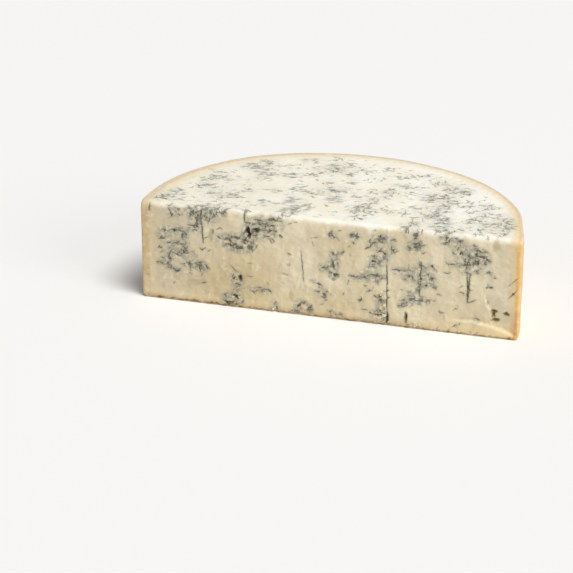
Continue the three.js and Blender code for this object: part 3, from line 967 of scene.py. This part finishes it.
# Tan areas: painted shade with a warm reflected cast on the lower left and lower middle of the
# front, a faint tan tone in the upper middle, a tan rind tone with painted shade along the foot,
# and the tan rind strip at the left end.
TAN_AND_SHADE_AREAS = (
    Area(-78, 18, 46, 30, 1.0),
    Area(-20, 10, 60, 16, 0.55),
    Area(20, 60, 26, 22, 0.25),
    Area(40, -1, 110, 7, 0.9),
    Area(-140, 45, 10, 50, 0.6),
)


def area_shares(places, areas, sharp):
    """The strongest of the areas at each place, each with a crisp or a soft edge."""
    strongest = np.zeros(len(places))
    for area in areas:
        x, z = (places[:, 0] - area.x) / area.half_x, (places[:, 2] - area.z) / area.half_z
        strongest = np.maximum(strongest, area.strength * smooth((1.5 - np.hypot(x, z)) * sharp))
    return strongest


inside = np.full(len(base), FAR_OUTSIDE)
offset, half_width, growth = -inside, np.zeros(len(base)), np.zeros(len(base))
ragged, straighter, torn = bend(base, 1.0), bend(base, 0.4), bend(base, 0.8)
on_front = (base[:, 1] < EDGE_BAND) & (facing[:, 1] < -0.05) & (np.abs(base[:, 0]) < RADIUS - 0.6)
on_top = (base[:, 2] > HEIGHT - EDGE_BAND) & (facing[:, 2] > 0.05)
for chosen, axes, drawings, patches in (
    (on_front, (0, 2), ((ragged, front_strokes), (straighter, channel_lines)), FRONT_PATCHES),
    (on_top, (0, 1), ((ragged, top_strokes),), TOP_PATCHES),
):
    ids = chosen.nonzero()[0]
    drawn, part_growth = [inside[ids], offset[ids], half_width[ids]], np.zeros(len(ids))
    for places, strokes in drawings:
        draw_strokes(places[np.ix_(ids, axes)], strokes, *drawn)
    grow(base[np.ix_(ids, axes)], patches, part_growth)
    inside[ids], offset[ids], half_width[ids] = drawn
    growth[ids] = np.maximum(growth[ids], part_growth)
angle = np.arctan2(np.maximum(base[:, 1], 0), base[:, 0])
to_wall = wheel_radius(angle) - np.hypot(base[:, 0], base[:, 1])
to_wall -= stand_back(base[:, 2], rim_edge(base[:, 1]))
rind_depth = np.clip(np.minimum(to_wall, base[:, 2] + 4), 0, 30)
rind_depth *= 1.05 + 0.3 * base[:, 0] / RADIUS
olive = np.where(on_front, area_shares(straighter, OLIVE_STAINS, 1.6), 0)
tan_and_shade = np.where(on_front, area_shares(base, TAN_AND_SHADE_AREAS, 0.8), 0)
crumbly = np.where(on_front & (base[:, 2] > 1.8), area_shares(straighter, CRUMBLY_AREAS, 0.9), 0)
rind_depth[(facing[:, 2] < -0.3)] = 0
rolled = 6 + 3 * swell(base * (1, 0.3, 0.6), 9, 15.5)
levelness = smooth((base[:, 2] - HEIGHT + rolled) / rolled)
print("points inside strokes:", int((inside > 0).sum()))

# %% [markdown]
# Relief
#
# Soft paste shows every touch of the knife. The cut faces swell and sink by about a
# millimetre, the mould leaves small hollows, a few pockets are open, and the knife dragged
# a low step along the lower right of the front. The rind is wrinkled.

# %% Sink the surface
FRONT_DENT, TOP_DENT, RIND_DENT = 1.1, 0.9, 0.8
LOW_STEP, SIDE_STEP = 2.8, 2.4
SMEAR_SLANT = np.array(((0.9, 0, 0.43), (0, 1, 0), (-0.43, 0, 0.9)))
Hollow = namedtuple("Hollow", "x z half_x half_z depth turn")
HOLLOWS = (
    Hollow(-63.4, 64.4, 2.1, 5.0, 6.0, -10),
    Hollow(-56.4, 67, 2.6, 2.2, 2.6, 30),
    Hollow(-66.5, 58, 3.6, 1.3, 2.0, 12),
    Hollow(-70.2, 25, 1.6, 3.4, 3.0, 22),
    Hollow(-73.5, 9, 2.2, 2.6, 1.6, -15),
    Hollow(-80.0, 3, 4.5, 1.6, 1.4, 20),
    Hollow(-34.0, 32.8, 4.4, 0.8, 1.5, 6),
    Hollow(42.5, 20.5, 1.4, 3.4, 1.5, 20),
    Hollow(42.5, 7.5, 3.0, 1.2, 1.6, -8),
    Hollow(48.6, 4, 1.2, 7.0, 2.4, 0),
    Hollow(63.6, 8.4, 1.1, 3.8, 2.6, 4),
    Hollow(118.0, 61, 1.6, 3.0, 1.0, -28),
    Hollow(131.8, 21.2, 2.9, 1.0, 2.2, 4),
    Hollow(130.9, 18.6, 1.1, 2.2, 2.4, -12),
    Hollow(132.6, 13.8, 3.2, 1.3, 1.9, -16),
    Hollow(141.2, 19.9, 2.6, 1.0, 2.0, 0),
    Hollow(141.0, 21.4, 1.0, 1.0, 1.8, 0),
    Hollow(-22.0, 6, 1.6, 5.0, 1.0, -30),
    Hollow(-41.0, 2.5, 1.6, 3.0, 1.2, 20),
)
RANDOM_SMEARS = 60
RAISED_SMEARS = (
    Hollow(-37.0, 30.2, 3.0, 0.9, -0.6, 4),
    Hollow(-73.8, 25.5, 1.0, 2.6, -0.6, 14),
    Hollow(29.0, 26.0, 1.2, 9.0, -0.5, 30),
    Hollow(22.0, 46.0, 1.0, 7.0, -0.4, 18),
    Hollow(57.0, 27.0, 1.0, 5.0, -0.6, 18),
    Hollow(46.0, 26.0, 1.0, 6.0, -0.6, 8),
    Hollow(119.0, 64.0, 1.0, 3.0, -0.5, -40),
    Hollow(-4.0, 68.0, 1.4, 5.0, -0.4, 30),
    Hollow(-24.0, 25.0, 1.4, 4.0, -0.4, 26),
    Hollow(147.5, 76.0, 1.0, 4.0, -0.5, 0),
)


LOW_LIP = ((100, 114, 123, 136, 147), (10.2, 11, 10, 7.3, 3.5))
SIDE_LIP = ((12, 16, 21, 27, 32), (129.2, 130.8, 129.2, 125.5, 124.2))


def steps_of_the_knife(places):
    """Two lips, above and beside which the knife took off a thin flake."""
    above = places[:, 2] - np.interp(places[:, 0], *LOW_LIP)
    along = smooth((places[:, 0] - 94) / 14)
    low = LOW_STEP * along * smooth(above / 1.0) * smooth(1 - above / 26)
    beside = places[:, 0] - np.interp(places[:, 2], *SIDE_LIP)
    upwards = smooth((places[:, 2] - 9) / 5) * smooth((37 - places[:, 2]) / 7)
    return low + SIDE_STEP * upwards * smooth(beside / 1.0) * smooth(1 - beside / 20)


def hollow_depth(places, hollow):
    turn = math.radians(hollow.turn)
    x, z = places[:, 0] - hollow.x, places[:, 2] - hollow.z
    u = (x * math.cos(turn) - z * math.sin(turn)) / hollow.half_x
    v = (x * math.sin(turn) + z * math.cos(turn)) / hollow.half_z
    return hollow.depth * smooth(1.25 - np.hypot(u, v))


front_share = np.where(base[:, 1] < EDGE_BAND, np.maximum(0, -facing[:, 1]) ** 2, 0)
top_share = np.maximum(0, facing[:, 2]) ** 2
rind_share = np.clip(1 - front_share - top_share, 0, 1) * (facing[:, 2] > -0.999)
above_floor = smooth(base[:, 2] / 10)
marks = smooth((inside + 0.5) / 1.0)
broad = 0.5 + 0.5 * swell(base, 34, 3.7)
ripples = swell(base / (2.6, 9.0, 30.0), 1, 5.2)
smears = swell(base @ SMEAR_SLANT / (5.5, 9.0, 9.0), 1, 8.8)
pimples = swell(base, 3.2, 1.9)
front_sink = FRONT_DENT * broad + 0.04 * ripples + 0.4 * smears + 0.15 * pimples + 0.25 * marks
to_corner = RADIUS - np.abs(base[:, 0])
front_sink *= above_floor * smooth(to_corner / 12)
front_sink += steps_of_the_knife(base) * smooth(to_corner / 7)
random_smears = [
    Hollow(
        *random.uniform((-140, 8), (128, 74)),
        *random.uniform((0.6, 1.6), (1.2, 4.5)),
        random.uniform(-0.55, 0.35),
        random.normal(28, 26),
    )
    for _ in range(RANDOM_SMEARS)
]
for hollow in (*HOLLOWS, *RAISED_SMEARS, *random_smears):
    front_sink += hollow_depth(torn, hollow)
top_sink = TOP_DENT * (0.5 + 0.5 * swell(base, 42, 8.1)) + 0.1 * pimples + 0.25 * marks
rind_sink = RIND_DENT * (0.5 + 0.5 * swell(base, 24, 12.9)) + 0.18 * swell(base, 5, 6.6)
rind_sink *= above_floor * smooth(base[:, 1] / 12)
sink = front_share * front_sink + top_share * top_sink + rind_share * rind_sink
skin = base - facing * sink[:, None]
print("deepest place in mm:", round(float(sink.max()), 1))

# %% [markdown]
# One closed skin
#
# The points and faces become one mesh in metres, moved from the wheel's axis to the middle
# of the piece, where the CAD model has its origin.

# %% Build the mesh


def add_numbers(mesh, name, values):
    layer = mesh.attributes.new(name, "FLOAT", "POINT")
    layer.data.foreach_set("value", np.asarray(values, np.float32))


def make_skin():
    mesh = bpy.data.meshes.new("cut_half_wheel")
    placed = (skin + (0, FRONT_Y, 0)) / 1000
    mesh.from_pydata(placed.tolist(), [], faces)
    add_numbers(mesh, "inside_stroke", inside)
    add_numbers(mesh, "stroke_offset", offset)
    add_numbers(mesh, "stroke_half_width", half_width)
    add_numbers(mesh, "growth", np.clip(growth, 0, 1.5))
    add_numbers(mesh, "rind_depth", rind_depth)
    add_numbers(mesh, "levelness", levelness)
    add_numbers(mesh, "olive", olive)
    add_numbers(mesh, "tan_and_shade", tan_and_shade)
    add_numbers(mesh, "crumbly", crumbly)
    mesh.polygons.foreach_set("use_smooth", [True] * len(mesh.polygons))
    mesh.validate()
    cheese = bpy.data.objects.new("cut_half_wheel", mesh)
    bpy.context.scene.collection.objects.link(cheese)
    return cheese


cheese = make_skin()
triangles = sum(len(p.vertices) - 2 for p in cheese.data.polygons)
print("triangles:", triangles)

# %% [markdown]
# Paste, mould and rind
#
# One material covers the whole piece, because paste, mould and rind run into each other.
# The cream paste turns warmer towards the rind. Light and shade are partly painted into the
# colour: the front is painted darker than the top and darker towards its left end, its lower
# front carries painted shade and a painted contact shadow along its foot, its lower right is
# painted brighter, and a golden glow is painted beside the right rind. The haze and the
# strokes that the points carry are roughened by small clouds, so that their edges wander more
# finely than the mesh does. Pale curd flecks in the haze are partly painted highlights. The
# rind is beige and yellow, with pale and pinkish-grey blotches.

# %% Material of the cheese
NEEDLE_SPACING, NEEDLE_RADIUS = 30.0, 1.4
NEXT_POINT = 0.65


def cheese_finish():
    finish = Finish("paste_mould_and_rind")
    where = finish.places()
    inside = finish.attribute("inside_stroke")
    to_middle = abs(finish.attribute("stroke_offset"))
    stroke = (finish.attribute("stroke_half_width") - to_middle).least(inside + NEXT_POINT)
    growth = finish.attribute("growth")
    depth = finish.attribute("rind_depth")
    level = finish.attribute("levelness")
    across, inwards, upwards = (
        finish.node("ShaderNodeSeparateXYZ", {}, {0: where}, output=axis) for axis in "XYZ"
    )
    fine = finish.clouds(where, 1.3, detail=3, rough=0.6)
    small = finish.clouds(where, 4.5, detail=3)
    middle = finish.clouds(where, 14, detail=3)
    large = finish.clouds(where, 38, detail=2)

    # Painted shade: the upright front is painted a darker cream than the level top, though both are
    # the same paste.
    shaded_upright_paste = finish.mix(
        colour(234, 222, 192), colour(224, 209, 174), finish.ramp(large, 0.35, 0.65)
    )
    # Painted shade with a warm reflected cast on the lower front, over the tan of the rind at the
    # foot and at the left end.
    shaded_upright_paste = finish.mix(shaded_upright_paste, colour(212, 192, 150), finish.attribute("tan_and_shade"))
    # Painted shade: the front is painted darker and greyer towards its left end.
    shaded_upright_paste = finish.mix(shaded_upright_paste, colour(204, 191, 162), finish.ramp(across, -70, -135) * 0.7)
    flat = finish.mix(colour(248, 244, 232), colour(241, 235, 216), finish.ramp(large, 0.35, 0.65))
    # Painted shade: the top is painted darker towards its left, away from the light.
    flat = finish.mix(flat, colour(234, 228, 208), finish.ramp(across, 60, -120) * 0.6)
    paste = finish.mix(shaded_upright_paste, flat, level)
    paste = finish.mix(paste, colour(246, 240, 222), finish.ramp(small, 0.56, 0.76) * 0.35)
    under_rind = finish.ramp(depth + (small - 0.5) * 8, 17, 2)
    paste = finish.mix(paste, colour(230, 208, 164), under_rind * (0.5 + level * 0.25))
    # Painted light: the lower right of the front is painted brighter and yellower.
    low_right = finish.ramp(upwards, 17, 2) * finish.ramp(across, 60, 145) * (1 - level)
    paste = finish.mix(paste, colour(242, 216, 162), low_right * 0.6)

    mouldy = finish.ramp(growth + (middle - 0.5) * 0.6 + level * 0.1, 0.1, 1.0)
    folds = finish.clouds(finish.places((1.7, 1, 1)), 7.5, detail=4, rough=0.6, bend=0.4)
    thread = finish.ramp(abs(folds - 0.5), mouldy * 0.05 + 0.002, 0.0)
    thread = thread * finish.ramp(finish.clouds(where, 4.0, detail=2), 0.42, 0.6)
    thread = thread * finish.ramp(depth, 6, 14)

    haze = finish.mix(colour(156, 154, 140), colour(180, 182, 174), level)
    hazy = finish.ramp(growth + (middle - 0.5) * 0.7, 0.08, 0.75)
    paste = finish.mix(paste, haze, hazy * finish.ramp(small, 0.3, 0.66) * (0.72 - level * 0.18))
    # Pale curd flecks in the mouldy haze, partly painted highlights.
    curds_and_highlights = finish.ramp(finish.clouds(where, 2.8, detail=2), 0.52, 0.64)
    paste = finish.mix(paste, colour(240, 234, 216), curds_and_highlights * hazy * 0.45)
    wavy = stroke + (fine - 0.5) * (1.0 + level * 0.2) + (small - 0.5) * 0.4
    halo = finish.ramp(inside + (fine - 0.5) * 1.1, -1.5, 0.2)
    paste = finish.mix(paste, colour(150, 146, 130), halo * (0.4 - level * 0.1))
    paste = finish.mix(paste, colour(110, 108, 95), thread * 0.6)
    paste = finish.mix(paste, colour(134, 116, 46), finish.attribute("olive") * 0.9)
    core = finish.ramp(wavy, -0.15, 0.2)
    tone = finish.clouds(where, 1.9, detail=3, rough=0.7)
    mould = finish.mix(colour(50, 48, 39), colour(126, 123, 106), finish.ramp(tone, 0.38, 0.62))
    mould = finish.mix(colour(104, 100, 84), mould, finish.ramp(stroke, -0.1, 0.45))

    hidden = finish.ramp(inwards, -45, 15)
    golden = finish.ramp(across, 100, 149) * (1 - hidden * 0.6)
    blotch = finish.ramp(finish.clouds(where, 16, detail=4, rough=0.6), 0.4, 0.62)
    tan_rind = finish.mix(colour(210, 186, 140), colour(193, 165, 124), blotch)
    golden_rind = finish.mix(colour(235, 191, 117), colour(226, 181, 109), blotch)
    rind = finish.mix(tan_rind, golden_rind, golden)
    rosy = finish.ramp(finish.clouds(where, 34, detail=3, rough=0.55), 0.45, 0.62)
    rind = finish.mix(rind, colour(216, 172, 132), rosy * hidden * 0.6)
    bloom = finish.ramp(finish.clouds(where, 9, detail=5, rough=0.72), 0.45, 0.7)
    rind = finish.mix(rind, colour(236, 224, 200), bloom * (0.3 + hidden * 0.3))
    rind = finish.mix(rind, colour(218, 203, 176), level * 0.8)
    rind = finish.mix(rind, colour(232, 218, 190), finish.ramp(small, 0.52, 0.72) * 0.4)
    # Painted light: a golden glow is painted on the paste beside the right rind.
    painted_rind_glow = finish.ramp(depth, 14, 3) * golden
    paste = finish.mix(paste, colour(240, 206, 142), painted_rind_glow * 0.6)
    rind_here = finish.ramp(depth + (small - 0.5) * 2, 6.2, 4.2)
    shown = finish.mix(paste, rind, rind_here * 0.9)
    inner = finish.ramp(depth, 2, 4)
    # Painted contact shadow: a dark brown line along the very foot of the front.
    foot = finish.ramp(upwards + (small - 0.5) * 5, 2.7, 0.3) * inner * (1 - level)
    # Painted shade: a brown band is painted along the lower front, left of the right end.
    painted_foot_shade = finish.ramp(upwards + (small - 0.5) * 5, 7, 0.5) * finish.ramp(across, 105, 50)
    shown = finish.mix(shown, colour(184, 154, 102), painted_foot_shade * inner * (1 - level) * 0.5)
    shown = finish.mix(shown, colour(92, 66, 36), foot * 0.9)
    shown = finish.mix(shown, mould, core * inner * (0.92 - level * 0.3))
    spots = finish.node(
        "ShaderNodeTexVoronoi",
        {"voronoi_dimensions": "2D"},
        {"Vector": where, "Scale": 1 / NEEDLE_SPACING, "Randomness": 0.55},
        output="Distance",
    )
    to_needle = spots * NEEDLE_SPACING + (small - 0.5) * 1.6 + (fine - 0.5) * 0.8
    needle_hole = finish.ramp(to_needle, NEEDLE_RADIUS + 0.4, NEEDLE_RADIUS - 0.3)
    needle_hole = needle_hole * finish.ramp(upwards, 0.4, 0.1) * finish.ramp(depth, 1, 0)
    shown = finish.mix(shown, colour(74, 62, 44), needle_hole * 0.9)

    grain = finish.clouds(where, 0.8, detail=2)
    height = (grain - 0.5) * 0.12 + (fine - 0.5) * 0.35 + (small - 0.5) * 0.9 - core * 0.25
    wrinkles = finish.clouds(where, 5, detail=4, rough=0.65)
    on_rind = finish.ramp(depth, 1, 0) * (1 - level)
    height = height + (wrinkles - 0.5) * on_rind * 2.5 - needle_hole * 2
    bump = finish.node(
        "ShaderNodeBump", {}, {"Strength": 0.6, "Distance": 0.001, "Height": height}
    )
    finish.set(
        Base_Color=shown,
        Roughness=0.42 + small * 0.2,
        Normal=bump,
        Subsurface_Weight=0.25,
        Subsurface_Radius=(0.006, 0.004, 0.0022),
        Subsurface_Scale=1.0,
        IOR=1.42,
    )
    return finish.material


cheese.data.materials.append(cheese_finish())
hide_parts(NODE)
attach(cheese, "root")
print("material nodes:", len(cheese.data.materials[0].node_tree.nodes))

# %% [markdown]
# Crumbs of torn curd
#
# Where the knife crossed a channel or met the tough underside, the paste tore instead of
# cutting, and left pale crumbs of curd in and beside the tear. Each could be modelled by
# hand, but Geometry Nodes scatter a hundred of them in one go, at random and only where the
# skin is marked as crumbly. A crumb is an icosahedron, turned and stretched at random.

# %% Scatter the crumbs


def crumb_finish():
    finish = Finish("torn_curd")
    where = finish.places()
    shade = finish.ramp(finish.clouds(where, 3.5, detail=2), 0.35, 0.6)
    curd = finish.mix(colour(160, 146, 118), colour(230, 219, 192), shade)
    finish.set(Base_Color=curd, Roughness=0.55, IOR=1.42)
    finish.set(Subsurface_Weight=0.2, Subsurface_Radius=(0.003, 0.002, 0.001))
    return finish.material


def scatter_tree():
    """A tree that scatters crumbs over the mesh it is given, and returns only the crumbs."""
    tree = bpy.data.node_groups.new("scatter_crumbs", "GeometryNodeTree")
    for name, kind in (
        ("Skin", "NodeSocketGeometry"),
        ("Crumbs per square metre", "NodeSocketFloat"),
        ("Smallest", "NodeSocketVector"),
        ("Largest", "NodeSocketVector"),
        ("Seed", "NodeSocketInt"),
        ("Finish", "NodeSocketMaterial"),
    ):
        tree.interface.new_socket(name, in_out="INPUT", socket_type=kind)
    tree.interface.new_socket("Crumbs", in_out="OUTPUT", socket_type="NodeSocketGeometry")
    net = Net(tree)
    given = tree.nodes.new("NodeGroupInput")
    skin, amount, smallest, largest, seed, material = (Value(net, s) for s in given.outputs[:6])
    marked = net.node(
        "GeometryNodeInputNamedAttribute", {"data_type": "FLOAT"}, {"Name": "crumbly"}
    )
    points = net.node(
        "GeometryNodeDistributePointsOnFaces",
        {"distribute_method": "RANDOM"},
        {"Mesh": skin, "Density": marked * amount, "Seed": seed},
    )
    stretch = net.node(
        "FunctionNodeRandomValue",
        {"data_type": "FLOAT_VECTOR"},
        {"Min": smallest, "Max": largest, "Seed": seed},
    )
    turn = net.node(
        "FunctionNodeRandomValue",
        {"data_type": "FLOAT_VECTOR"},
        {"Min": (0, 0, 0), "Max": (math.tau, math.tau, math.tau), "Seed": seed + 1},
    )
    chip = net.node("GeometryNodeMeshIcoSphere", {}, {"Radius": 0.001, "Subdivisions": 1})
    placed = net.node(
        "GeometryNodeInstanceOnPoints",
        {},
        {"Points": points, "Instance": chip, "Rotation": turn, "Scale": stretch},
    )
    real = net.node("GeometryNodeRealizeInstances", {}, {"Geometry": placed})
    dressed = net.node("GeometryNodeSetMaterial", {}, {"Geometry": real, "Material": material})
    net.feed(tree.nodes.new("NodeGroupOutput").inputs["Crumbs"], dressed)
    return tree


def scatter_crumbs(skin_mesh, finish, **given):
    """The scattered crumbs as a plain mesh object."""
    tree = scatter_tree()
    holder = bpy.data.objects.new("crumb_holder", skin_mesh.copy())
    bpy.context.scene.collection.objects.link(holder)
    modifier = holder.modifiers.new("scatter", "NODES")
    modifier.node_group = tree
    sockets = {s.name: s.identifier for s in tree.interface.items_tree if s.in_out == "INPUT"}
    for name, value in {"Finish": finish, **given}.items():
        modifier[sockets[name.replace("_", " ")]] = value
    seen = holder.evaluated_get(bpy.context.evaluated_depsgraph_get())
    mesh = bpy.data.meshes.new_from_object(seen)
    mesh.name = "torn_crumbs"
    bpy.data.objects.remove(holder)
    crumbs = bpy.data.objects.new("torn_crumbs", mesh)
    bpy.context.scene.collection.objects.link(crumbs)
    return crumbs


crumbs = scatter_crumbs(
    cheese.data,
    crumb_finish(),
    Crumbs_per_square_metre=420000.0,
    Smallest=(0.45, 0.3, 0.4),
    Largest=(1.5, 0.8, 1.3),
    Seed=3,
)
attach(crumbs, "root")
print("crumbs:", len(crumbs.data.polygons) // 20)
